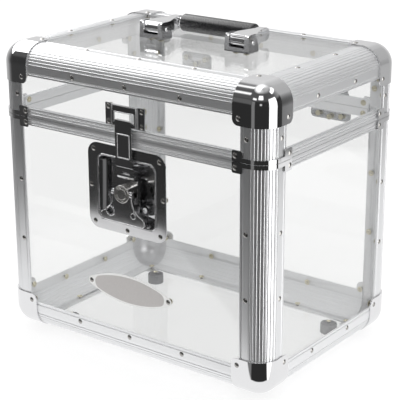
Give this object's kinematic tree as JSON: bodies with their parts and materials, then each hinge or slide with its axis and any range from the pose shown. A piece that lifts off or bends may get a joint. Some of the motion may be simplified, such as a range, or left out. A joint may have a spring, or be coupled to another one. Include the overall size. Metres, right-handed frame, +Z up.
{
  "type": "record carrying case",
  "caption": "Clear-panelled carrying case for large records, framed in fluted aluminium, with a hinged lid, a recessed butterfly draw latch and a folding handle on top.",
  "frame": {"origin": "on the floor under the middle of the closed case, midway between its foremost and rearmost points", "axes": "+X to the right along the front, -Y out of the front where the latch is, +Z up"},
  "size_m": [0.3936, 0.2936, 0.3912],
  "materials": {
    "clear_sheet": "clear acrylic sheet, polished on both faces",
    "fluted_aluminium": "extruded, satin anodised",
    "rim_aluminium": "extruded, satin anodised",
    "polished_corner": "pressed steel, bright plated",
    "polished_clamp": "pressed steel, bright plated",
    "rivet_steel": "domed heads, pale brassy washers inside",
    "foot_rubber": "ribbed, matte",
    "plate_aluminium": "bare field inside a pale raised border",
    "hinge_steel": "zinc plated",
    "pin_steel": "drawn wire and turned pins",
    "latch_plate": "pressed steel, bright zinc plate",
    "latch_chrome": "pressed and turned steel, bright plated",
    "handle_chrome": "cast and pressed, bright plated",
    "grip_plastic": "black, soft sheen"
  },
  "bodies": {
    "base": {"bottom_panel": "clear_sheet", "base_front_panel": "clear_sheet", "base_back_panel": "clear_sheet", "base_left_panel": "clear_sheet", "base_right_panel": "clear_sheet", "bottom_front_angle": "fluted_aluminium", "bottom_back_angle": "fluted_aluminium", "bottom_left_angle": "fluted_aluminium", "bottom_right_angle": "fluted_aluminium", "base_post_front_left": "fluted_aluminium", "base_post_front_right": "fluted_aluminium", "base_post_back_left": "fluted_aluminium", "base_post_back_right": "fluted_aluminium", "base_rim": "rim_aluminium", "base_clamps": "polished_clamp", "base_rivets": "rivet_steel", "feet": "foot_rubber", "name_plate": "plate_aluminium", "bottom_corner_front_left": "polished_corner", "bottom_corner_front_right": "polished_corner", "bottom_corner_back_left": "polished_corner", "bottom_corner_back_right": "polished_corner", "hinge_base_leaves": "hinge_steel", "hinge_pins": "pin_steel", "latch_dish": "latch_plate"},
    "lid": {"top_panel": "clear_sheet", "lid_front_panel": "clear_sheet", "lid_back_panel": "clear_sheet", "lid_left_panel": "clear_sheet", "lid_right_panel": "clear_sheet", "top_front_angle": "fluted_aluminium", "top_back_angle": "fluted_aluminium", "top_left_angle": "fluted_aluminium", "top_right_angle": "fluted_aluminium", "lid_post_front_left": "fluted_aluminium", "lid_post_front_right": "fluted_aluminium", "lid_post_back_left": "fluted_aluminium", "lid_post_back_right": "fluted_aluminium", "lid_rim": "rim_aluminium", "lid_clamps": "polished_clamp", "lid_rivets": "rivet_steel", "top_corner_front_left": "polished_corner", "top_corner_front_right": "polished_corner", "top_corner_back_left": "polished_corner", "top_corner_back_right": "polished_corner", "hinge_lid_leaves": "hinge_steel", "strike_plate": "latch_plate", "handle_brackets": "handle_chrome", "handle_pins": "pin_steel"},
    "handle": {"handle_arms": "handle_chrome", "handle_rod": "pin_steel", "handle_grip": "grip_plastic"},
    "spindle": {"latch_spindle": "latch_chrome", "spindle_washer": "pin_steel", "wing_pin": "pin_steel"},
    "wing": {"latch_wing": "latch_chrome"},
    "draw": {"draw_plate": "latch_chrome", "hook_pin": "pin_steel"},
    "hook": {"latch_hook": "latch_chrome"}
  },
  "joints": [
    {"name": "lid_hinge", "type": "hinge", "parent": "base", "child": "lid", "pos_m": [0, 0.1427, 0.285], "axis": [-1, 0, 0], "range_deg": [0, 100]},
    {"name": "handle_swing", "type": "hinge", "parent": "lid", "child": "handle", "pos_m": [0, 0, 0.3795], "axis": [1, 0, 0], "range_deg": [0, 90]},
    {"name": "wing_turn", "type": "hinge", "parent": "base", "child": "spindle", "pos_m": [0, -0.1375, 0.2195], "axis": [0, 1, 0], "range_deg": [0, 180]},
    {"name": "wing_fold", "type": "hinge", "parent": "spindle", "child": "wing", "pos_m": [0, -0.1444, 0.2195], "axis": [-1, 0, 0], "range_deg": [0, 90]},
    {"name": "hook_draw", "type": "slide", "parent": "base", "child": "draw", "axis": [0, 0, 1], "range_m": [0, 0.0075]},
    {"name": "hook_swing", "type": "hinge", "parent": "draw", "child": "hook", "pos_m": [0, -0.134, 0.2385], "axis": [1, 0, 0], "range_deg": [0, 40]}
  ],
  "couplings": [
    {"joint": "hook_draw", "follows": "wing_turn", "m_per_rad": 0.0023873}
  ]
}
